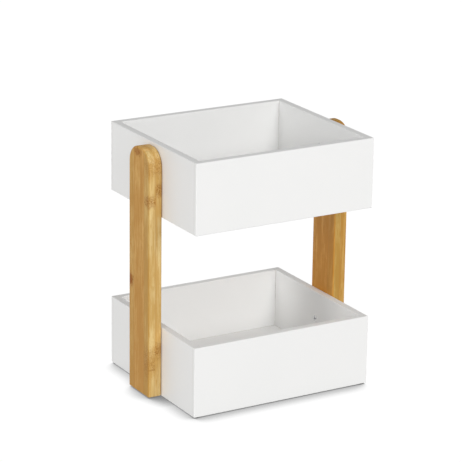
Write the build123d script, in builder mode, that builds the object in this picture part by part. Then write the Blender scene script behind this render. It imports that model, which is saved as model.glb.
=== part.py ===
# Two-tier desk organizer: two open trays of white lacquered MDF, one above the other, carried by
# two flat bamboo uprights at the middle of their short sides.
#
# Each tray is glued up from four wall panels with rebated corners round a bottom board that sits
# in a groove, pinned at the corners with brads, then sanded and lacquered as one. Countersunk
# wood screws go from inside each tray through its side panels into the uprights. Small pads under
# the lower tray's corners keep the lacquer off the desk.
#
# Frame: +X along the front, +Y to the back, +Z up. The origin is on the desk, under the middle.
# All sizes are in millimetres.

from build123d import *

import os

# ---- Trays: outside sizes, boards and joints ----
TRAY_LENGTH = 206
TRAY_DEPTH = 180
TRAY_HEIGHT = 74
WALL = 8
REBATE = 4  # half the wall, in the long panels' ends
GROOVE = 4  # in the inner face of all four walls
BOTTOM_THICKNESS = 5
BOTTOM_RISE = 5  # from the walls' lower edges up to the bottom board
SANDED_EDGE = 0.8

# ---- Tiers ----
PAD_THICKNESS = 1
TIER_SPACING = 191
TIERS = {"lower": PAD_THICKNESS, "upper": PAD_THICKNESS + TIER_SPACING}
LONG_SIDES = {"front": -1, "back": 1}
SHORT_SIDES = {"left": -1, "right": 1}

# ---- Uprights ----
UPRIGHT_WIDTH = 42.5
UPRIGHT_THICKNESS = 15
UPRIGHT_BELOW_RIM = 3.5
UPRIGHT_HEIGHT = TIER_SPACING + TRAY_HEIGHT - UPRIGHT_BELOW_RIM
UPRIGHT_TOP_RADIUS = 18.5
UPRIGHT_EDGE = 1.5

# ---- Screws: 3.5 x 20, with a 90 degree countersunk head ----
SCREW_LENGTH = 20
SCREW_RADIUS = 1.75
SCREW_HEAD_RADIUS = 3.5
SCREW_HEAD_HEIGHT = SCREW_HEAD_RADIUS - SCREW_RADIUS
SCREW_POINT = 3.5
SCREW_CLEARANCE = 0.15  # round the shank where it passes through the side panel
SCREW_RISES = {"low": 20, "high": 44}  # above the tray's lower edge
RECESS_SPAN = 4
RECESS_SLOT = 1
RECESS_DEPTH = 1.6
RECESS_TAPER = 15

# ---- Brads: headless pins in the glued corners ----
BRAD_RADIUS = 0.6
BRAD_LENGTH = 19
BRAD_COVER = 1  # filler over the pin, under the lacquer
BRAD_RISES = (15, 37, 59)  # above the tray's lower edge

# ---- Pads ----
PAD_RADIUS = 3.5
PAD_INSET = 4.5  # from the tray's outer faces to the middle of a pad


def sanded_walls(underside):
    """The four walls of one tray as a single ring with its edges eased. Each panel is cut from
    it, so that the edges run on from panel to panel."""
    with BuildPart() as ring:
        with BuildSketch(Plane.XY.offset(underside)):
            Rectangle(TRAY_LENGTH, TRAY_DEPTH)
            Rectangle(TRAY_LENGTH - 2 * WALL, TRAY_DEPTH - 2 * WALL, mode=Mode.SUBTRACT)
        extrude(amount=TRAY_HEIGHT)
        rim_edges = ring.faces().sort_by(Axis.Z)[-1].edges()
        lower_edges = ring.faces().sort_by(Axis.Z)[0].outer_wire().edges()
        outer_corners = ring.edges().filter_by(Axis.Z).sort_by_distance((0, 0, underside))[4:]
        fillet(rim_edges + lower_edges + outer_corners, radius=SANDED_EDGE)
    return ring.part


def bottom_board(underside):
    """Thin board that reaches to the bottom of the grooves on all four sides."""
    with BuildPart() as board:
        with BuildSketch(Plane.XY.offset(underside + BOTTOM_RISE)):
            Rectangle(
                TRAY_LENGTH - 2 * (WALL - GROOVE),
                TRAY_DEPTH - 2 * (WALL - GROOVE),
            )
        extrude(amount=BOTTOM_THICKNESS)
    return board.part


def corner_brads(underside, x_sign, y_sign):
    """Three pins driven square through a long panel's rebated end into a side panel's end."""
    x = x_sign * (TRAY_LENGTH - WALL) / 2
    outer_end = Plane.XZ.offset(-y_sign * (TRAY_DEPTH / 2 - BRAD_COVER))
    with BuildPart() as brads:
        with BuildSketch(outer_end):
            with Locations(*[(x, underside + rise) for rise in BRAD_RISES]):
                Circle(BRAD_RADIUS)
        extrude(amount=y_sign * BRAD_LENGTH)
    return brads.part


def long_panel(underside, y_sign):
    """Front or back wall, as long as the tray, with a rebate in each end for a side panel."""
    with BuildPart() as panel:
        with BuildSketch(Plane.XY.offset(underside)):
            with Locations((0, y_sign * (TRAY_DEPTH - WALL) / 2)):
                Rectangle(TRAY_LENGTH, WALL)
            rebate_x = (TRAY_LENGTH - WALL) / 2
            rebate_y = y_sign * (TRAY_DEPTH / 2 - WALL + REBATE / 2)
            with Locations((-rebate_x, rebate_y), (rebate_x, rebate_y)):
                Rectangle(WALL, REBATE, mode=Mode.SUBTRACT)
        extrude(amount=TRAY_HEIGHT)
        add(sanded_walls(underside), mode=Mode.INTERSECT)
        add(bottom_board(underside), mode=Mode.SUBTRACT)
        for x_sign in SHORT_SIDES.values():
            add(corner_brads(underside, x_sign, y_sign), mode=Mode.SUBTRACT)
    return panel.part


def screw_seat(underside, x_sign, rise):
    """Plane at the middle of a screw's head, flush with the side panel's inner face. It looks
    along the screw, out of the tray."""
    return Plane(
        origin=(x_sign * (TRAY_LENGTH / 2 - WALL), 0, underside + rise),
        x_dir=(0, 1, 0),
        z_dir=(x_sign, 0, 0),
    )


def side_panel(underside, x_sign):
    """Left or right wall. Its ends sit in the long panels' rebates, and its middle has the two
    countersunk holes for the screws into the upright."""
    with BuildPart() as panel:
        with BuildSketch(Plane.XY.offset(underside)):
            with Locations((x_sign * (TRAY_LENGTH - WALL) / 2, 0)):
                Rectangle(WALL, TRAY_DEPTH - 2 * (WALL - REBATE))
        extrude(amount=TRAY_HEIGHT)
        add(sanded_walls(underside), mode=Mode.INTERSECT)
        add(bottom_board(underside), mode=Mode.SUBTRACT)
        for y_sign in LONG_SIDES.values():
            add(corner_brads(underside, x_sign, y_sign), mode=Mode.SUBTRACT)
        for rise in SCREW_RISES.values():
            seat = screw_seat(underside, x_sign, rise)
            with Locations(Plane(origin=seat.origin, x_dir=seat.x_dir, z_dir=-seat.z_dir)):
                CounterSinkHole(SCREW_RADIUS + SCREW_CLEARANCE, SCREW_HEAD_RADIUS, WALL, 90)
    return panel.part


def wood_screw(underside, x_sign, rise):
    """Countersunk screw with a cross recess, pointing out of the tray."""
    seat = screw_seat(underside, x_sign, rise)
    axial_section = Plane(origin=seat.origin, x_dir=seat.x_dir, z_dir=seat.x_dir.cross(seat.z_dir))
    with BuildPart() as screw:
        with BuildSketch(axial_section):
            with BuildLine():
                Polyline(
                    (0, 0),
                    (SCREW_HEAD_RADIUS, 0),
                    (SCREW_RADIUS, SCREW_HEAD_HEIGHT),
                    (SCREW_RADIUS, SCREW_LENGTH - SCREW_POINT),
                    (0, SCREW_LENGTH),
                    close=True,
                )
            make_face()
        revolve(axis=Axis(seat.origin, seat.z_dir))
        with BuildSketch(seat):
            Rectangle(RECESS_SPAN, RECESS_SLOT)
            Rectangle(RECESS_SLOT, RECESS_SPAN)
        extrude(amount=RECESS_DEPTH, taper=RECESS_TAPER, mode=Mode.SUBTRACT)
    return screw.part


def upright(x_sign):
    """Flat bamboo board with two rounded upper corners, flat against both trays. Each screw's
    end has cut its own hole in it."""
    tray_side = Plane(
        origin=(x_sign * TRAY_LENGTH / 2, 0, PAD_THICKNESS),
        x_dir=(0, x_sign, 0),
        z_dir=(x_sign, 0, 0),
    )
    with BuildPart() as board:
        with BuildSketch(tray_side) as outline:
            Rectangle(UPRIGHT_WIDTH, UPRIGHT_HEIGHT, align=(Align.CENTER, Align.MIN))
            fillet(outline.vertices().group_by(Axis.Y)[-1], radius=UPRIGHT_TOP_RADIUS)
        extrude(amount=UPRIGHT_THICKNESS)
        fillet(board.faces().filter_by(Axis.X).edges(), radius=UPRIGHT_EDGE)
        for underside in TIERS.values():
            for rise in SCREW_RISES.values():
                add(wood_screw(underside, x_sign, rise), mode=Mode.SUBTRACT)
    return board.part


def foot_pad(x_sign, y_sign):
    """Self-adhesive disc under one corner of the lower tray."""
    x = x_sign * (TRAY_LENGTH / 2 - PAD_INSET)
    y = y_sign * (TRAY_DEPTH / 2 - PAD_INSET)
    with BuildPart() as pad:
        with BuildSketch(Plane.XY):
            with Locations((x, y)):
                Circle(PAD_RADIUS)
        extrude(amount=PAD_THICKNESS)
    return pad.part


def save(name, piece):
    """Labels a finished piece and writes its STEP file."""
    piece.label = name
    export_step(piece, f"parts/{name}.step")


os.makedirs("parts", exist_ok=True)

for tier, underside in TIERS.items():
    save(f"{tier}_bottom_board", bottom_board(underside))
    for y_side, y_sign in LONG_SIDES.items():
        save(f"{tier}_{y_side}_panel", long_panel(underside, y_sign))
    for x_side, x_sign in SHORT_SIDES.items():
        save(f"{tier}_{x_side}_panel", side_panel(underside, x_sign))
        for height_name, rise in SCREW_RISES.items():
            save(f"{tier}_{x_side}_screw_{height_name}", wood_screw(underside, x_sign, rise))
        for y_side, y_sign in LONG_SIDES.items():
            save(f"{tier}_{y_side}_{x_side}_brads", corner_brads(underside, x_sign, y_sign))

for x_side, x_sign in SHORT_SIDES.items():
    save(f"{x_side}_upright", upright(x_sign))
    for y_side, y_sign in LONG_SIDES.items():
        save(f"{y_side}_{x_side}_pad", foot_pad(x_sign, y_sign))
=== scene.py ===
"""Looks of the two-tier desk organizer: white lacquered trays, bamboo uprights, their screws,
brads and pads, in a plain white studio. Every length is in metres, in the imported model's frame.
"""

import math

import bpy
from mathutils import Matrix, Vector
import numpy as np


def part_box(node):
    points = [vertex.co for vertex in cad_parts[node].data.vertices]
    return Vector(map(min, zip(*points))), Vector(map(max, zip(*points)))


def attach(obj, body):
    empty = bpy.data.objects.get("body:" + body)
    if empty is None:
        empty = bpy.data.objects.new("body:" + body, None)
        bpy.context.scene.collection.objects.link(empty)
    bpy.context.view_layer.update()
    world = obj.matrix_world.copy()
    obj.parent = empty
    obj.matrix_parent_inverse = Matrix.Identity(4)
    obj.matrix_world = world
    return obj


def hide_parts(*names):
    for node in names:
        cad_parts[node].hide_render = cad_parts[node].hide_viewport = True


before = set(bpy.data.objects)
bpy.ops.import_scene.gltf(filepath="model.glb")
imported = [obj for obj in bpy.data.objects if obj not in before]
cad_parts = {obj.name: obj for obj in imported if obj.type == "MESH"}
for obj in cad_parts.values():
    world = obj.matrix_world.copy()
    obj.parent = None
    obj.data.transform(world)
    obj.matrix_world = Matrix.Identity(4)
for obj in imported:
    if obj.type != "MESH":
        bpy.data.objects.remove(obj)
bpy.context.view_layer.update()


# ---- Trays --------------------------------------------------------------------------------
# Ten boards of MDF: four walls and a bottom for each tray, glued and pinned in rebated corners,
# then filled, sanded and sprayed as one with satin white lacquer. The boards are the model's own.

MM = 0.001
LACQUER = (0.845, 0.845, 0.835, 1.0)
LACQUER_THICKER = (0.855, 0.852, 0.842, 1.0)
LACQUER_IN_JOINT = (0.50, 0.46, 0.40, 1.0)
THICKNESS_DRIFT = 60 * MM
SATIN_PATCH = 9 * MM
SATIN_ROUGHNESS = (0.36, 0.44)
SANDED_ROUGHER = 0.12
PEEL_SIZE = 1.6 * MM
PEEL_RELIEF = 0.35
DISH_RELIEF = 0.5
LACQUER_RELIEF = 0.03 * MM
JOINT_WIDTH = 0.16 * MM
FILLER_RADIUS = 1.3 * MM
BRAD_RADIUS = 0.6 * MM
BRADS_IN_CORNER = 3

front_low, front_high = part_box("lower_front_panel")
TRAY_X = front_high.x
INSIDE_X = -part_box("lower_left_panel")[1].x
INSIDE_Y = -front_high.y
REBATE_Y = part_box("lower_left_panel")[1].y
FLOOR_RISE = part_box("lower_bottom_board")[1].z - front_low.z
TIER_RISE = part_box("upper_front_panel")[0].z - front_low.z
brads_low, brads_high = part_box("lower_front_left_brads")
BRAD_RISES = np.linspace(brads_low.z + BRAD_RADIUS, brads_high.z - BRAD_RADIUS, BRADS_IN_CORNER)
BRAD_RISES = (BRAD_RISES - front_low.z).tolist()


def node(tree, kind, inputs=(), **settings):
    """Adds a shader node with these settings. An input that is a socket is linked, and any
    other input is a value to set."""
    made = tree.nodes.new(kind)
    for name, value in settings.items():
        setattr(made, name, value)
    for key, value in dict(inputs).items():
        if isinstance(value, bpy.types.NodeSocket):
            tree.links.new(value, made.inputs[key])
        else:
            made.inputs[key].default_value = value
    return made


def sum_of(tree, operation, *values):
    """One sum worked out in a material, such as ADD or MAXIMUM of two sockets or numbers."""
    return node(tree, "ShaderNodeMath", enumerate(values), operation=operation).outputs[0]


def fade(tree, value, start, end, low=0.0, high=1.0):
    """Smooth step from low at start to high at end."""
    inputs = {"Value": value, "From Min": start, "From Max": end, "To Min": low, "To Max": high}
    made = node(tree, "ShaderNodeMapRange", inputs, interpolation_type="SMOOTHSTEP")
    return made.outputs["Result"]


def near(tree, value, place, width):
    """1 where value is at place, falling to 0 at width from it."""
    away = sum_of(tree, "ABSOLUTE", sum_of(tree, "SUBTRACT", value, place))
    return fade(tree, away, 0.0, width, 1.0, 0.0)


def largest(tree, *masks):
    """The largest of several masks."""
    top = masks[0]
    for mask in masks[1:]:
        top = sum_of(tree, "MAXIMUM", top, mask)
    return top


def noise(tree, place, size, detail=2.0, roughness=0.5, stretch=None):
    """Noise with features of about this size, longer along an axis by its stretch."""
    if stretch is not None:
        squeeze = [1.0 / s for s in stretch]
        place = node(tree, "ShaderNodeVectorMath", {0: place, 1: squeeze}, operation="MULTIPLY")
        place = place.outputs[0]
    inputs = {"Vector": place, "Scale": 1.0 / size, "Detail": detail, "Roughness": roughness}
    return node(tree, "ShaderNodeTexNoise", inputs).outputs["Fac"]


def mix(tree, share, first, second):
    """Colour that goes from first to second as share goes from 0 to 1."""
    inputs = {0: share, 6: first, 7: second}
    return node(tree, "ShaderNodeMix", inputs, data_type="RGBA").outputs[2]


def new_material(name, **sockets):
    """A principled material, with numbers set straight on its shader's sockets."""
    material = bpy.data.materials.new(name)
    material.use_nodes = True
    tree = material.node_tree
    shader = tree.nodes["Principled BSDF"]
    for socket, value in sockets.items():
        shader.inputs[socket.replace("_", " ")].default_value = value
    place = node(tree, "ShaderNodeTexCoord").outputs["Object"]
    return material, tree, shader, place


def bump(tree, shader, height, depth):
    """Raises the surface by height times depth."""
    made = node(tree, "ShaderNodeBump", {"Height": height, "Distance": depth, "Strength": 1.0})
    tree.links.new(made.outputs["Normal"], shader.inputs["Normal"])


def white_lacquer():
    """Satin white with the spray's fine orange peel, duller on the sanded rims, a hairline where
    boards meet, and a faint dish over each filled brad. Both tiers are read as one tray, and its
    corners as one corner, from the size of x and y and the height above each tray's edge."""
    lustre = {"Coat_Weight": 0.15, "Coat_Roughness": 0.35}
    material, tree, shader, place = new_material("white_lacquer", **lustre)
    axes = node(tree, "ShaderNodeSeparateXYZ", {0: place}).outputs
    x = sum_of(tree, "ABSOLUTE", axes["X"])
    y = sum_of(tree, "ABSOLUTE", axes["Y"])
    from_tier = sum_of(tree, "SUBTRACT", axes["Z"], front_low.z)
    z = sum_of(tree, "FLOORED_MODULO", from_tier, TIER_RISE)

    past_inside_x = sum_of(tree, "GREATER_THAN", x, INSIDE_X - JOINT_WIDTH)
    past_inside_y = sum_of(tree, "GREATER_THAN", y, INSIDE_Y - JOINT_WIDTH)
    inside_rebate = sum_of(tree, "LESS_THAN", y, REBATE_Y + JOINT_WIDTH)
    rebate = sum_of(tree, "MULTIPLY", near(tree, y, REBATE_Y, JOINT_WIDTH), past_inside_x)
    corner = sum_of(tree, "MULTIPLY", near(tree, x, INSIDE_X, JOINT_WIDTH), past_inside_y)
    corner = sum_of(tree, "MULTIPLY", corner, inside_rebate)
    within_x = sum_of(tree, "LESS_THAN", x, INSIDE_X + JOINT_WIDTH)
    within_y = sum_of(tree, "LESS_THAN", y, INSIDE_Y + JOINT_WIDTH)
    floor = near(tree, z, FLOOR_RISE, JOINT_WIDTH)
    floor = sum_of(tree, "MULTIPLY", floor, largest(tree, past_inside_x, past_inside_y))
    floor = sum_of(tree, "MULTIPLY", floor, sum_of(tree, "MULTIPLY", within_x, within_y))
    joint = largest(tree, rebate, corner, floor)

    brad_x = sum_of(tree, "SUBTRACT", x, (TRAY_X + INSIDE_X) / 2)
    dishes = []
    for rise in BRAD_RISES:
        brad_z = sum_of(tree, "SUBTRACT", z, rise)
        off = node(tree, "ShaderNodeCombineXYZ", {"X": brad_x, "Z": brad_z}).outputs[0]
        off = node(tree, "ShaderNodeVectorMath", {0: off}, operation="LENGTH").outputs["Value"]
        dishes.append(fade(tree, off, 0.4 * FILLER_RADIUS, FILLER_RADIUS, 1.0, 0.0))
    dish = largest(tree, *dishes)

    thicker = fade(tree, noise(tree, place, THICKNESS_DRIFT, 3.0), 0.3, 0.7)
    tone = mix(tree, thicker, LACQUER, LACQUER_THICKER)
    tree.links.new(mix(tree, joint, tone, LACQUER_IN_JOINT), shader.inputs["Base Color"])

    peel = noise(tree, place, PEEL_SIZE, 2.0, 0.4)
    facing = node(tree, "ShaderNodeNewGeometry").outputs["Normal"]
    facing_up = node(tree, "ShaderNodeSeparateXYZ", {0: facing}).outputs["Z"]
    satin = fade(tree, noise(tree, place, SATIN_PATCH, 3.0), 0.3, 0.7, *SATIN_ROUGHNESS)
    dulled = fade(tree, facing_up, 0.6, 0.95, 0.0, SANDED_ROUGHER)
    tree.links.new(sum_of(tree, "ADD", satin, dulled), shader.inputs["Roughness"])
    height = sum_of(tree, "SUBTRACT", sum_of(tree, "MULTIPLY", peel, PEEL_RELIEF), joint)
    height = sum_of(tree, "SUBTRACT", height, sum_of(tree, "MULTIPLY", dish, DISH_RELIEF))
    bump(tree, shader, height, LACQUER_RELIEF)
    return material


lacquer = white_lacquer()
for tier in ("lower", "upper"):
    for board in ("front_panel", "back_panel", "left_panel", "right_panel", "bottom_board"):
        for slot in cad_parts[f"{tier}_{board}"].material_slots:
            slot.material = lacquer


# ---- Corner brads -------------------------------------------------------------------------
# Headless pins of drawn steel wire, shot through the long panels into the side panels' ends.
# Each has a clipped chisel point and the gripper's fine rings below its blunt end.

BRAD_CHISEL = 1.6 * MM
BRAD_CHISEL_THIN = 0.35
BRAD_RINGED = 1.5 * MM
BRAD_RINGS = 5
BRAD_RING_DEPTH = 0.03 * MM
BRAD_BLUNT_END = 0.92 * BRAD_RADIUS
BRAD_STEPS = 16
WIRE_DARK = (0.42, 0.42, 0.43, 1)
WIRE_BRIGHT = (0.60, 0.60, 0.61, 1)
WIRE_LINE = 0.12 * MM
WIRE_RELIEF = 0.004 * MM
WIRE_ROUGHNESS = (0.28, 0.45)


def closed_surface(name, points, faces, material, slot, *replaced):
    """Makes a piece of points and four-cornered faces. Points in the same place are welded, so a
    seam or a pole is closed: a face with one side of no length is kept as a triangle, and one
    with two such sides is dropped."""
    points = np.asarray(points, float)
    snapped = np.round(points / (MM * 1e-4)).astype(np.int64)
    _, first, same = np.unique(snapped, axis=0, return_index=True, return_inverse=True)
    corners = same.reshape(-1)[faces]
    apart = corners != np.roll(corners, -1, axis=1)
    sides = apart.sum(axis=1)
    quads = corners[sides == 4]
    triangles = corners[sides == 3][apart[sides == 3]].reshape(-1, 3)
    mesh = bpy.data.meshes.new(name)
    mesh.from_pydata(points[first].tolist(), [], quads.tolist() + triangles.tolist())
    mesh.polygons.foreach_set("use_smooth", np.ones(len(mesh.polygons), bool))
    mesh.materials.append(material)
    mesh.update()
    piece = bpy.data.objects.new(name, mesh)
    bpy.context.scene.collection.objects.link(piece)
    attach(piece, "root")
    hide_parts(*replaced)
    return piece


def grid_faces(rows, columns, start=0, wrap=True):
    """Four-cornered faces of a grid of points stored row by row. With wrap, the last column
    joins the first."""
    row, column = np.meshgrid(np.arange(rows - 1), np.arange(columns - (not wrap)), indexing="ij")
    here = row * columns + column
    beside = row * columns + (column + 1) % columns
    quads = np.stack([here, beside, beside + columns, here + columns], axis=-1)
    return quads.reshape(-1, 4) + start


def turned(radius, along, steps):
    """Points of a turned shape: at each place along its axis, a circle of that radius. The axis
    is the third coordinate. A radius may be one number or one for each angle."""
    angle = np.linspace(0, 2 * np.pi, steps, endpoint=False)
    radius = np.broadcast_to(np.asarray(radius, float), (len(along), steps))
    ring = np.stack([radius * np.cos(angle), radius * np.sin(angle)], axis=-1)
    height = np.broadcast_to(np.asarray(along, float)[:, None, None], (len(along), steps, 1))
    return np.concatenate([ring, height], axis=-1)


def brad(length):
    """One pin along +z. Its radius dips by the ring depth along a raised cosine, once for each
    ring, and along the chisel one axis is squeezed evenly to about a third, which makes the
    point's edge."""
    rings = np.linspace(0, BRAD_RINGED, 21)[1:]
    dip = BRAD_RING_DEPTH * (0.5 - 0.5 * np.cos(2 * np.pi * BRAD_RINGS * rings / BRAD_RINGED))
    shank = np.array([BRAD_RINGED + 0.2 * MM, length - BRAD_CHISEL])
    chisel = np.linspace(length - BRAD_CHISEL, length, 6)[1:]
    squeeze = np.linspace(1, BRAD_CHISEL_THIN, 6)[1:]
    along = np.concatenate([[0, 0], rings, shank, chisel, [length]])
    full = np.full(len(shank) + len(chisel), BRAD_RADIUS)
    radius = np.concatenate([[0, BRAD_BLUNT_END], BRAD_RADIUS - dip, full, [0]])
    points = turned(radius[:, None], along, BRAD_STEPS)
    points[-len(chisel) - 1:-1, :, 0] *= squeeze[:, None]
    return points


def drawn_steel():
    """Plain wire, with the fine lengthwise scratches of the drawing die and a dull grey film."""
    material, tree, shader, place = new_material("drawn_steel", Metallic=1.0)
    lines = noise(tree, place, WIRE_LINE, 2.0, 0.5, stretch=(1, 30, 1))
    tone = mix(tree, lines, WIRE_DARK, WIRE_BRIGHT)
    tree.links.new(tone, shader.inputs["Base Color"])
    dull = fade(tree, lines, 0.3, 0.7, *WIRE_ROUGHNESS)
    tree.links.new(dull, shader.inputs["Roughness"])
    bump(tree, shader, lines, WIRE_RELIEF)
    return material


wire = drawn_steel()
for tier in ("lower", "upper"):
    for y_side in ("front", "back"):
        for x_side in ("left", "right"):
            name = f"{tier}_{y_side}_{x_side}_brads"
            low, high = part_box(name)
            pin = brad(high.y - low.y)
            inwards = 1 if y_side == "front" else -1
            start = low.y if inwards > 0 else high.y
            rows, columns = pin.shape[:2]
            spots = np.linspace(low.z + BRAD_RADIUS, high.z - BRAD_RADIUS, BRADS_IN_CORNER)
            points, faces = [], []
            for number, spot in enumerate(spots):
                x = (low.x + high.x) / 2 - inwards * pin[..., 0]
                y = start + inwards * pin[..., 2]
                z = spot + pin[..., 1]
                points.append(np.stack([x, y, z], axis=-1).reshape(-1, 3))
                faces.append(grid_faces(rows, columns, number * rows * columns))
            points = np.concatenate(points)
            faces = np.concatenate(faces)
            closed_surface(f"{name}_steel", points, faces, wire, "brad_steel", name)


# ---- Uprights -----------------------------------------------------------------------------
# Flat bars of laminated bamboo, two layers of glued strips thick, with the two upper corners cut
# round, every edge eased with a router and the faces fine-sanded under thin matt oil.

UPRIGHT_ROUNDING = 18.5 * MM
UPRIGHT_EDGE = 1.5 * MM
EDGE_STEPS = 7
SHOULDER_STEPS = 17
STRAIGHT_ROWS = 40
FACE_COLUMNS = 15

LAYER = 7.5 * MM
STAGGER = 0.43
SEAM_WIDTH = 0.3 * MM
SEAM_STRENGTH = 0.45
BAMBOO_RELIEF = 0.03 * MM
BAMBOO_ROUGHNESS = (0.44, 0.58)
STRIPS_APART = 0.3
SPECKLE = 0.9 * MM
KNUCKLE_RAGGED = 3.2 * MM
LOW_DOWN = (10 * MM, 240 * MM)
DEEPER = (0.76, 0.61, 0.40)
DEEPEST = 1.2
DEEPER_BY_GLUE = 0.25
DEEPER_LOW_DOWN = 0.45
REDDISH = (1.035, 0.96, 0.88, 1)
STRAW = (0.985, 1.04, 1.10, 1)
KNUCKLE_BROWN = (0.31, 0.105, 0.008, 1)
GLUE_BROWN = (0.36, 0.16, 0.07, 1)
FIBRE_SWAY = 1.2 * MM
KNUCKLE_SWAY = 7 * MM
SWAYS_PER_METRE = 85.0

# Each pattern of the fibres: its width, how many times longer it is along the bar, how many
# finer noises it holds and how strong they are, where it begins to darken, where it is
# darkest, and how dark that is.
FIBRES = {
    "clouds": (13 * MM, 2, 3.0, 0.6, 0.36, 0.68, 0.24),
    "broad bands": (9 * MM, 6, 2.0, 0.5, 0.36, 0.64, 0.50),
    "streaks": (2.8 * MM, 24, 2.0, 0.5, 0.40, 0.66, 0.45),
    "fine lines": (0.5 * MM, 55, 2.0, 0.6, 0.42, 0.70, 0.36),
    "flecks": (1.1 * MM, 11, 2.0, 0.6, 0.52, 0.66, 0.50),
}


def upright_surface(low, high):
    """The bar in three parts that meet along one outline. The outline lies inside the bar's own
    by the edge radius, as points with a direction each. The rim carries a profile along it: a
    quarter circle out, straight across the thickness, and a quarter circle back. Two flat grids
    fill the faces: at each height, columns share out the outline's width."""
    half = (high.y - low.y) / 2
    middle = (high.y + low.y) / 2
    top = high.z - UPRIGHT_EDGE
    shoulder = high.z - UPRIGHT_ROUNDING
    inner_round = UPRIGHT_ROUNDING - UPRIGHT_EDGE
    arc = np.linspace(0, np.pi / 2, SHOULDER_STEPS)[1:]

    straight = np.linspace(low.z + UPRIGHT_EDGE, shoulder, STRAIGHT_ROWS)
    row_z = np.concatenate([straight, shoulder + inner_round * np.sin(arc)])
    row_half = np.concatenate([
        np.full(STRAIGHT_ROWS, half - UPRIGHT_EDGE),
        half - UPRIGHT_ROUNDING + inner_round * np.cos(arc),
    ])
    row_turn = np.concatenate([np.zeros(STRAIGHT_ROWS), arc])
    share = np.linspace(-1, 1, FACE_COLUMNS)
    level = np.ones(FACE_COLUMNS)
    face = np.stack([row_half[:, None] * share, row_z[:, None] * level], axis=-1)

    flip = [-1, 1, -1, 1]
    right = np.stack([row_half, row_z, np.cos(row_turn), np.sin(row_turn)], axis=-1)
    crown = np.stack([share[::-1] * row_half[-1], top * level, 0 * level, level], axis=-1)
    foot = np.stack([share * row_half[0], row_z[0] * level, 0 * level, -level], axis=-1)
    corner = np.linspace(np.pi, 1.5 * np.pi, EDGE_STEPS)
    spot = np.ones(EDGE_STEPS)
    foot_left = [-row_half[0] * spot, row_z[0] * spot, np.cos(corner), np.sin(corner)]
    foot_left = np.stack(foot_left, axis=-1)
    foot_right = foot_left[::-1] * flip
    outline = np.concatenate([right, crown, right[::-1] * flip, foot_left, foot, foot_right])

    turn = np.linspace(0, np.pi / 2, EDGE_STEPS)
    thick = high.x - low.x
    reach = UPRIGHT_EDGE * np.concatenate([np.sin(turn), np.sin(turn[::-1])])
    ease = UPRIGHT_EDGE * (1 - np.cos(turn))
    across = np.concatenate([ease, thick - ease[::-1]])
    rim_y = outline[None, :, 0] + reach[:, None] * outline[None, :, 2]
    rim_z = outline[None, :, 1] + reach[:, None] * outline[None, :, 3]
    rim_x = np.broadcast_to(across[:, None], rim_y.shape)
    rim = np.stack([rim_x, rim_y, rim_z], axis=-1).reshape(-1, 3)
    rim_faces = grid_faces(len(across), len(outline))

    flat = face.reshape(-1, 2)
    near_face = np.column_stack([np.zeros(len(flat)), flat])
    far_face = np.column_stack([np.full(len(flat), thick), flat])
    face_quads = grid_faces(len(row_z), FACE_COLUMNS, len(rim), wrap=False)
    points = np.concatenate([rim, near_face, far_face])
    faces = np.concatenate([rim_faces, face_quads[:, ::-1], face_quads + len(flat)])
    return points + [low.x, middle, 0], faces


def knuckle(tree, axes, ragged, spot, reach):
    """Mask of one knuckle: distance from its spot along y and z, each over its reach, plus a
    ragged noise, faded from the middle outwards."""
    away = {}
    for axis in "YZ":
        away[axis] = sum_of(tree, "SUBTRACT", axes[axis], spot[axis] * MM)
        away[axis] = sum_of(tree, "DIVIDE", away[axis], reach[axis] * MM)
    off = node(tree, "ShaderNodeCombineXYZ", away).outputs[0]
    off = node(tree, "ShaderNodeVectorMath", {0: off}, operation="LENGTH").outputs["Value"]
    return fade(tree, sum_of(tree, "MULTIPLY_ADD", ragged, 1.4, off), 0.95, 1.9, 1.0, 0.0)


def vector(tree, operation, first, second=None, **inputs):
    """Vector sum worked out in a material, such as ADD or MULTIPLY, or SCALE by Scale."""
    inputs = {0: first, **inputs}
    if second is not None:
        inputs[1] = second
    return node(tree, "ShaderNodeVectorMath", inputs, operation=operation).outputs[0]


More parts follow.
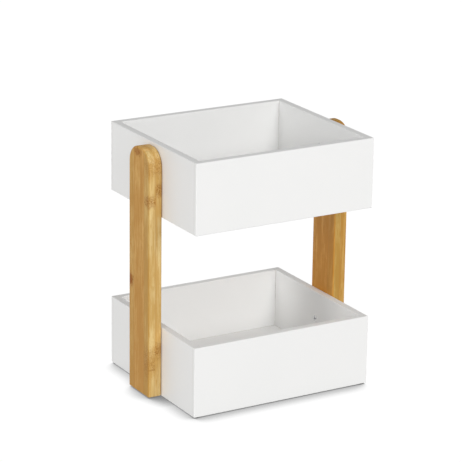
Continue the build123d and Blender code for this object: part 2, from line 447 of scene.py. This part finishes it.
def bamboo(name, face_tint, side_tint, strip_width, first_seam, bundle, knuckles):
    """Strips glued side by side in two layers. Each has its own tone, long fibres and short dark
    flecks, and is browner near the glue; the bundle's number picks them. A knuckle has its layer,
    its place and its reach along y and z in millimetres, and how speckled and how brown it is,
    and it stays in its own strip. All of it is solid, so the top and feet show end grain."""
    oiled = {"Specular_IOR_Level": 0.04, "Coat_Weight": 0.15, "Coat_Roughness": 0.24}
    material, tree, shader, place = new_material(name, **oiled)
    axes = node(tree, "ShaderNodeSeparateXYZ", {0: place}).outputs
    depth = sum_of(tree, "SUBTRACT", sum_of(tree, "ABSOLUTE", axes["X"]), TRAY_X)
    layers = sum_of(tree, "DIVIDE", depth, LAYER)
    layer = sum_of(tree, "GREATER_THAN", layers, 1.0)
    seam_place, seam_layer = first_seam
    strips = sum_of(tree, "DIVIDE", sum_of(tree, "SUBTRACT", axes["Y"], seam_place), strip_width)
    shifted = sum_of(tree, "SUBTRACT", layer, seam_layer)
    strips = sum_of(tree, "MULTIPLY_ADD", shifted, STAGGER, strips)
    strip = sum_of(tree, "FLOOR", strips)
    cell = node(tree, "ShaderNodeCombineXYZ", {"X": layer, "Y": strip, "Z": bundle}).outputs[0]
    chance = node(tree, "ShaderNodeTexWhiteNoise", {"Vector": cell}, noise_dimensions="3D").outputs

    ragged = noise(tree, place, KNUCKLE_RAGGED, 3.0, 0.65)
    speckled, browned = [0.0], [0.0]
    for own_layer, y, z, reach_y, reach_z, speckle, brown in knuckles:
        shift = (own_layer - seam_layer) * STAGGER
        own_strip = math.floor((y * MM - seam_place) / strip_width + shift)
        mask = knuckle(tree, axes, ragged, {"Y": y, "Z": z}, {"Y": reach_y, "Z": reach_z})
        mask = sum_of(tree, "MULTIPLY", mask, sum_of(tree, "COMPARE", strip, own_strip, 0.5))
        mask = sum_of(tree, "MULTIPLY", mask, sum_of(tree, "COMPARE", layer, own_layer, 0.5))
        speckled.append(sum_of(tree, "MULTIPLY", mask, speckle))
        browned.append(sum_of(tree, "MULTIPLY", mask, brown))
    speckled = largest(tree, *speckled)
    browned = largest(tree, *browned)
    in_strip = sum_of(tree, "FRACT", sum_of(tree, "ADD", strips, 0.5))
    between_strips = near(tree, in_strip, 0.5, SEAM_WIDTH / strip_width)
    between_layers = near(tree, layers, 1.0, SEAM_WIDTH / LAYER)
    seam = largest(tree, between_strips, between_layers)

    wander = {"Vector": place, "Scale": SWAYS_PER_METRE, "Detail": 2.0}
    wander = node(tree, "ShaderNodeTexNoise", wander).outputs["Color"]
    wander = vector(tree, "SUBTRACT", wander, (0.5, 0.5, 0.5))
    sway = sum_of(tree, "MULTIPLY_ADD", speckled, KNUCKLE_SWAY, FIBRE_SWAY)
    sway = vector(tree, "SCALE", wander, Scale=sway)
    apart = vector(tree, "SCALE", chance["Color"], Scale=STRIPS_APART)
    fibre = vector(tree, "ADD", vector(tree, "ADD", place, sway), apart)

    facing = node(tree, "ShaderNodeNewGeometry").outputs["Normal"]
    facing = node(tree, "ShaderNodeSeparateXYZ", {0: facing}).outputs["X"]
    on_face = fade(tree, sum_of(tree, "ABSOLUTE", facing), 0.15, 0.65)
    tone = mix(tree, on_face, side_tint, face_tint)
    tone = vector(tree, "MULTIPLY", tone, mix(tree, chance["Value"], REDDISH, STRAW))
    deeper = vector(tree, "MULTIPLY", tone, DEEPER)
    by_glue = sum_of(tree, "MULTIPLY", near(tree, layers, 1.0, 0.5), DEEPER_BY_GLUE)
    low_down = fade(tree, axes["Z"], *LOW_DOWN, DEEPER_LOW_DOWN, 0.0)
    depth_of_tone = sum_of(tree, "MULTIPLY_ADD", low_down, on_face, by_glue)
    patterns = {}
    for kind, (width, longer, detail, strength, start, end, share) in FIBRES.items():
        patterns[kind] = noise(tree, fibre, width, detail, strength, stretch=(1, 1, longer))
        dark = fade(tree, patterns[kind], start, end, 0.0, share)
        depth_of_tone = sum_of(tree, "ADD", depth_of_tone, dark)
    tone = mix(tree, sum_of(tree, "MINIMUM", depth_of_tone, DEEPEST), tone, deeper)
    speckles = noise(tree, fibre, SPECKLE, 3.0, 0.6, stretch=(1, 1, 1.6))
    speckles = sum_of(tree, "MULTIPLY", fade(tree, speckles, 0.46, 0.57), speckled)
    marks = sum_of(tree, "MINIMUM", sum_of(tree, "ADD", speckles, browned), 1.0)
    tone = mix(tree, marks, tone, KNUCKLE_BROWN)
    tone = mix(tree, sum_of(tree, "MULTIPLY", seam, SEAM_STRENGTH), tone, GLUE_BROWN)
    tree.links.new(tone, shader.inputs["Base Color"])
    dull = fade(tree, patterns["fine lines"], 0.3, 0.8, *BAMBOO_ROUGHNESS)
    tree.links.new(dull, shader.inputs["Roughness"])
    height = sum_of(tree, "MULTIPLY_ADD", patterns["streaks"], 0.5, patterns["fine lines"])
    height = sum_of(tree, "SUBTRACT", height, sum_of(tree, "ADD", seam, speckles))
    bump(tree, shader, height, BAMBOO_RELIEF)
    return material


LEFT_WOOD = dict(
    face_tint=(0.672, 0.435, 0.146, 1),
    side_tint=(0.790, 0.575, 0.255, 1),
    strip_width=21.7 * MM,
    first_seam=(-11 * MM, 1.0),
    bundle=11.0,
    knuckles=(
        (1, 21, 118, 11, 8, 1.0, 1.0),
        (1, -18, 210, 9, 8, 0.65, 0.22),
        (0, -20, 222, 9, 8, 0.65, 0.22),
        (1, -19, 246, 8, 14, 0.35, 0.10),
        (0, -19, 246, 8, 14, 0.35, 0.10),
        (1, -17, 40, 9, 22, 0.45, 0.15),
        (0, -20, 51, 9, 10, 0.60, 0.15),
        (1, -21, 31, 2.5, 1.2, 0.2, 0.35),
        (1, 3, 257, 9, 5, 0.7, 0.50),
        (0, 3, 132, 12, 6, 0.6, 0.3),
        (0, 17, 66, 9, 7, 0.6, 0.3),
    ),
)
RIGHT_WOOD = dict(
    # The face tint is lighter than the side tint partly as painted light: it stands in for the
    # light bounced into the gap between the trays, where the inner face shows. The face's more
    # orange cast is the wood's own.
    face_tint=(0.820, 0.445, 0.112, 1),
    side_tint=(0.628, 0.412, 0.126, 1),
    strip_width=26.9 * MM,
    first_seam=(-10.4 * MM, 0.0),
    bundle=3.0,
    knuckles=(
        (0, 19, 184, 6, 8, 0.9, 0.5),
        (0, -4, 232, 16, 6, 0.7, 0.3),
        (1, -14, 176, 14, 7, 0.7, 0.3),
        (1, 10, 58, 14, 7, 0.7, 0.4),
        (0, -18, 34, 9, 7, 0.7, 0.3),
    ),
)
for x_side, wood in (("left", LEFT_WOOD), ("right", RIGHT_WOOD)):
    name = f"{x_side}_upright"
    points, faces = upright_surface(*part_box(name))
    own_bamboo = bamboo(f"bamboo_{x_side}", **wood)
    closed_surface(f"{name}_bamboo", points, faces, own_bamboo, "bamboo", name)


# ---- Wood screws --------------------------------------------------------------------------
# Bright zinc-plated 3.5 x 20 countersunk screws with a cross recess, driven from inside the
# trays until their heads are flush. The thread starts below a plain neck and runs to the point.

SCREW_RADIUS = 1.75 * MM
SCREW_CORE = 1.15 * MM
SCREW_PITCH = 1.6 * MM
SCREW_POINT = 3.5 * MM
SCREW_NECK = 4.0 * MM
HEAD_RADIUS = 3.5 * MM
RECESS_HALF_SPAN = 2.0 * MM
RECESS_HALF_SLOT = 0.5 * MM
RECESS_DEPTH = 1.6 * MM
RECESS_WALL = 0.22 * MM
RIDGE_WIDTH = 0.22
NECK_RADIUS = SCREW_CORE + 0.3 * MM
HEAD_EASE = 0.03 * MM
HEAD_RIM = 0.12 * MM
SCREW_STEPS = 72
HEAD_CIRCLES = 34
SHANK_CIRCLES = 150
ZINC_DARK = (0.62, 0.63, 0.65, 1)
ZINC_BRIGHT = (0.78, 0.78, 0.78, 1)
ZINC_GRAIN = 0.25 * MM
ZINC_PATCH = 1.8 * MM
ZINC_RELIEF = 0.006 * MM
ZINC_ROUGHNESS = (0.2, 0.36)


def screw_surface(length):
    """Head and shank in one grid of circles along +z, into the wood. On the flat head the circles
    grow from the middle, and sink where both the smaller coordinate is within half a slot and
    the larger is within the cross's span. Down the shank the radius is the core's plus a sharp
    ridge whose phase is length over pitch less the turn, fading out in the neck and the point."""
    angle = np.linspace(0, 2 * np.pi, SCREW_STEPS, endpoint=False)
    disc = np.linspace(0, HEAD_RADIUS - 0.15 * MM, HEAD_CIRCLES)
    u, v = disc[:, None] * np.cos(angle), disc[:, None] * np.sin(angle)
    narrow, wide = np.minimum(abs(u), abs(v)), np.maximum(abs(u), abs(v))
    in_slot = np.clip((RECESS_HALF_SLOT - narrow) / RECESS_WALL + 0.5, 0, 1)
    in_span = np.clip((RECESS_HALF_SPAN - wide) / (2.5 * RECESS_WALL) + 0.5, 0, 1)
    floor = 1 - 0.35 * (wide / RECESS_HALF_SPAN) ** 2
    head = np.stack([u, v, RECESS_DEPTH * in_slot * in_span * np.clip(floor, 0, 1)], axis=-1)

    cone = HEAD_RADIUS - SCREW_RADIUS
    edge_radius = [HEAD_RADIUS - HEAD_EASE, HEAD_RADIUS, HEAD_RADIUS - HEAD_RIM]
    edge_radius = np.array(edge_radius + [SCREW_CORE + 0.35 * MM])
    edge_along = [HEAD_EASE, HEAD_RIM, 2 * HEAD_RIM, cone + 0.25 * MM]
    edge = turned(edge_radius[:, None], edge_along, SCREW_STEPS)
    along = np.linspace(cone + 0.4 * MM, length - 0.05 * MM, SHANK_CIRCLES)
    phase = along[:, None] / SCREW_PITCH - angle / (2 * np.pi)
    ridge = np.clip(1 - abs(phase % 1 - 0.5) / RIDGE_WIDTH, 0, 1)
    grown = np.clip((along - SCREW_NECK) / (1.2 * MM), 0, 1)
    pointed = np.clip((length - along) / SCREW_POINT, 0, 1) ** 0.75
    core = np.where(along < SCREW_NECK, NECK_RADIUS, SCREW_CORE) * pointed
    rise = (SCREW_RADIUS - SCREW_CORE) * grown * pointed
    shank = turned(core[:, None] + rise[:, None] * ridge, along, SCREW_STEPS)
    tip = turned(np.zeros((1, 1)), [length], SCREW_STEPS)
    return np.concatenate([head, edge, shank, tip])


def zinc_plate():
    """Bright blue-white plating with a fine grain and duller patches."""
    material, tree, shader, place = new_material("zinc_plate", Metallic=1.0)
    grain = noise(tree, place, ZINC_GRAIN, 3.0, 0.6)
    patches = noise(tree, place, ZINC_PATCH, 2.0)
    tree.links.new(mix(tree, patches, ZINC_DARK, ZINC_BRIGHT), shader.inputs["Base Color"])
    dull = fade(tree, patches, 0.3, 0.7, *ZINC_ROUGHNESS)
    tree.links.new(dull, shader.inputs["Roughness"])
    bump(tree, shader, grain, ZINC_RELIEF)
    return material


zinc = zinc_plate()
for tier in ("lower", "upper"):
    for x_side, outwards in (("left", -1), ("right", 1)):
        for number, height in enumerate(("low", "high")):
            name = f"{tier}_{x_side}_screw_{height}"
            low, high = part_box(name)
            screw = screw_surface(high.x - low.x)
            start = low.x if outwards > 0 else high.x
            driven_turn = math.radians(25 + 40 * number + 15 * outwards)
            u = screw[..., 0] * math.cos(driven_turn) - screw[..., 1] * math.sin(driven_turn)
            v = screw[..., 0] * math.sin(driven_turn) + screw[..., 1] * math.cos(driven_turn)
            x = start + outwards * screw[..., 2]
            y = (low.y + high.y) / 2 + outwards * u
            z = (low.z + high.z) / 2 + v
            points = np.stack([x, y, z], axis=-1).reshape(-1, 3)
            faces = grid_faces(*screw.shape[:2])
            closed_surface(f"{name}_zinc", points, faces, zinc, "screw_steel", name)


# ---- Pads ---------------------------------------------------------------------------------
# Small discs punched from black closed-cell foam tape, stuck under the lower tray's corners.
# The punch leaves the side slightly hollow between two soft edges.

PAD_STEPS = 48
PAD_SOFT_EDGE = 0.12 * MM
PAD_WAIST = 0.12 * MM
FOAM_CELL = 0.35 * MM
FOAM_RELIEF = 0.06 * MM
FOAM_PAINTED_SHADE_IN_CELL = (0.018, 0.018, 0.018, 1)
FOAM_WALL = (0.05, 0.05, 0.048, 1)


def pad_surface(radius, height):
    """A disc from its middle below to its middle above. Its side follows half a sine wave that
    pulls the radius in by the waist at mid height, between two rounded edges."""
    soft = PAD_SOFT_EDGE
    turn = np.linspace(0, np.pi / 2, 5)
    side = np.linspace(soft, height - soft, 9)[1:-1]
    waist = radius - PAD_WAIST * np.sin(np.pi * side / height)
    lower_edge = radius - soft + soft * np.sin(turn)
    size = np.concatenate([[0, radius / 2], lower_edge, waist, lower_edge[::-1], [radius / 2, 0]])
    edge_height = soft * (1 - np.cos(turn))
    upper_height = height - edge_height[::-1]
    along = np.concatenate([[0, 0], edge_height, side, upper_height, [height, height]])
    return turned(size[:, None], along, PAD_STEPS)


def black_foam():
    """Matt black foam with closed cells a few tenths of a millimetre across, some cut open;
    painted shade darkens their hollows.
    """
    material, tree, shader, place = new_material("black_foam", Roughness=0.85)
    cells = node(tree, "ShaderNodeTexVoronoi", {"Vector": place, "Scale": 1 / FOAM_CELL})
    wall = fade(tree, cells.outputs["Distance"], 0.15, 0.6)
    # Painted shade: the cells' hollows, sunk by the bump below, are coloured darker than the walls
    # between them.
    tree.links.new(mix(tree, wall, FOAM_PAINTED_SHADE_IN_CELL, FOAM_WALL), shader.inputs["Base Color"])
    bump(tree, shader, wall, FOAM_RELIEF)
    return material


foam = black_foam()
for y_side in ("front", "back"):
    for x_side in ("left", "right"):
        name = f"{y_side}_{x_side}_pad"
        low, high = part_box(name)
        disc = pad_surface((high.x - low.x) / 2, high.z - low.z)
        disc = disc + [(low.x + high.x) / 2, (low.y + high.y) / 2, low.z]
        faces = grid_faces(*disc.shape[:2])
        closed_surface(f"{name}_foam", disc.reshape(-1, 3), faces, foam, "pad_foam", name)


# ---- Studio -------------------------------------------------------------------------------
# A white table that glows evenly and darkens only where the organizer stands close to it, a
# plain dome that is brighter low down, and two large round softboxes, in front and at the left.

TABLE_SIZE = 24.0
TABLE_GLOW = 1.02
SHADOW_GLOW = 0.16
SHADOW_REACH = 28 * MM
SHADOW_LEAN = {"X": 0.44, "Y": 0.52, "Z": 0.73}
LIGHT_FROM_ABOVE = 0.365
LIGHT_FROM_BELOW = 0.62
BOX_DISTANCE = 6.0
BOX_AIM_HEIGHT = 0.15
BOX_SIZE = 2.4

# Each softbox: its name, the degrees it stands round from the front and above, and its watts.
BOXES = (("front_box", 0, 25, 210.0), ("left_box", -90, 14, 122.0))

edge = TABLE_SIZE / 2
corners = [(-edge, -edge, 0), (edge, -edge, 0), (edge, edge, 0), (-edge, edge, 0)]
tabletop = bpy.data.meshes.new("table")
tabletop.from_pydata(corners, [], [(0, 1, 2, 3)])
table = bpy.data.objects.new("table", tabletop)
table.visible_diffuse = False
bpy.context.scene.collection.objects.link(table)
white_table = bpy.data.materials.new("white_table")
white_table.use_nodes = True
tree = white_table.node_tree
tree.nodes.clear()
leaning = node(tree, "ShaderNodeCombineXYZ", SHADOW_LEAN).outputs[0]
occlusion = {"Distance": SHADOW_REACH, "Normal": leaning}
open_air = node(tree, "ShaderNodeAmbientOcclusion", occlusion, samples=24).outputs["AO"]
glow = fade(tree, open_air, 0.08, 0.80, SHADOW_GLOW, TABLE_GLOW)
light = node(tree, "ShaderNodeEmission", {"Color": (1, 1, 1, 1), "Strength": glow}).outputs[0]
node(tree, "ShaderNodeOutputMaterial", {"Surface": light})
tabletop.materials.append(white_table)

world = bpy.data.worlds.new("dome")
world.use_nodes = True
tree = world.node_tree
direction = node(tree, "ShaderNodeTexCoord").outputs["Generated"]
rise = node(tree, "ShaderNodeSeparateXYZ", {0: direction}).outputs["Z"]
brightness = fade(tree, rise, -0.25, 0.25, LIGHT_FROM_BELOW, LIGHT_FROM_ABOVE)
background = tree.nodes["Background"]
background.inputs["Color"].default_value = (1, 1, 1, 1)
tree.links.new(brightness, background.inputs["Strength"])
bpy.context.scene.world = world

for name, turn, height, power in BOXES:
    turn = math.radians(turn)
    height = math.radians(height)
    softbox = bpy.data.lights.new(name, "AREA")
    softbox.shape = "DISK"
    softbox.size = BOX_SIZE
    softbox.energy = power
    lamp = bpy.data.objects.new(name, softbox)
    reach = BOX_DISTANCE * math.cos(height)
    rise = BOX_AIM_HEIGHT + BOX_DISTANCE * math.sin(height)
    lamp.location = (reach * math.sin(turn), -reach * math.cos(turn), rise)
    lamp.rotation_euler = (math.pi / 2 - height, 0, turn)
    bpy.context.scene.collection.objects.link(lamp)
bpy.context.scene.view_settings.view_transform = "Standard"


# ---- Camera -------------------------------------------------------------------------------
# A long lens at the front left, a little above the organizer, turned by under a degree.

AZIMUTH = math.radians(-30.37)
ELEVATION = math.radians(17.72)
ROLL = math.radians(0.81)
DISTANCE = 2.434
AIM = (0.0070, 0.0298, 0.1476)
FOCAL_LENGTH = 181.07
SENSOR = 36.0

back = np.array([
    math.sin(AZIMUTH) * math.cos(ELEVATION),
    -math.cos(AZIMUTH) * math.cos(ELEVATION),
    math.sin(ELEVATION),
])
level = np.array([math.cos(AZIMUTH), math.sin(AZIMUTH), 0.0])
upright = np.cross(back, level)
right = math.cos(ROLL) * level + math.sin(ROLL) * upright
up = math.cos(ROLL) * upright - math.sin(ROLL) * level
lens = bpy.data.cameras.new("camera")
lens.sensor_width = SENSOR
lens.lens = FOCAL_LENGTH
lens.clip_start, lens.clip_end = 0.05, 50.0
camera = bpy.data.objects.new("camera", lens)
pose = np.eye(4)
pose[:3] = np.column_stack([right, up, back, np.array(AIM) + back * DISTANCE])
camera.matrix_world = Matrix(pose.tolist())
bpy.context.scene.collection.objects.link(camera)
bpy.context.scene.camera = camera
